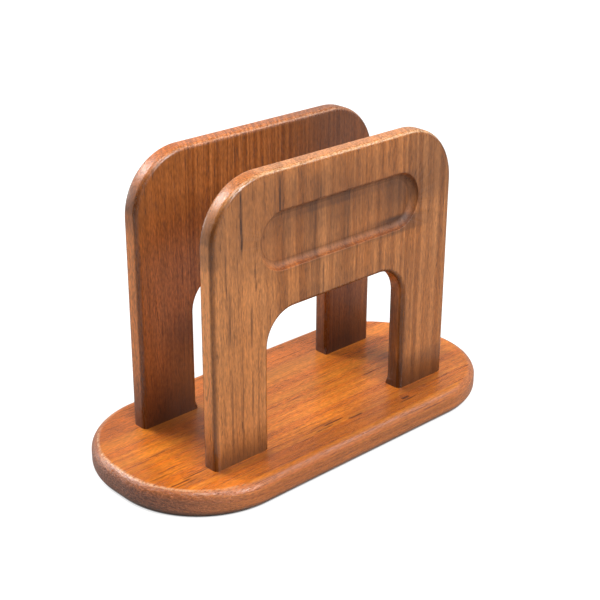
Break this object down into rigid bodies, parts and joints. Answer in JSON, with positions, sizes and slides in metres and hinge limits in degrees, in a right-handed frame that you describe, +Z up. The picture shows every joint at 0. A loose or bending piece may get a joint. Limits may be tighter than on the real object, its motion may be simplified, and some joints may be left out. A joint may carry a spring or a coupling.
{
  "type": "napkin holder",
  "caption": "Wooden napkin holder: two upright arched panels with finger recesses, screwed to an oval base board with rounded edges.",
  "frame": {"origin": "centre of the underside of the base, on the surface that the holder stands on", "axes": "+X along the base's length and the panels' width, +Y from the front panel to the back panel, +Z up"},
  "size_m": [0.19, 0.0896, 0.129],
  "materials": {
    "base_teak": "satin oiled teak, grain along X",
    "front_teak": "satin oiled teak, grain along Z, dark streaks",
    "back_teak": "satin oiled teak, grain along Z, darker red-brown",
    "screw_brass": "slightly dulled brass"
  },
  "bodies": {
    "root": {"base": "base_teak", "front_panel": "front_teak", "back_panel": "back_teak", "screw_front_left": "screw_brass", "screw_front_right": "screw_brass", "screw_back_left": "screw_brass", "screw_back_right": "screw_brass"}
  },
  "joints": []
}
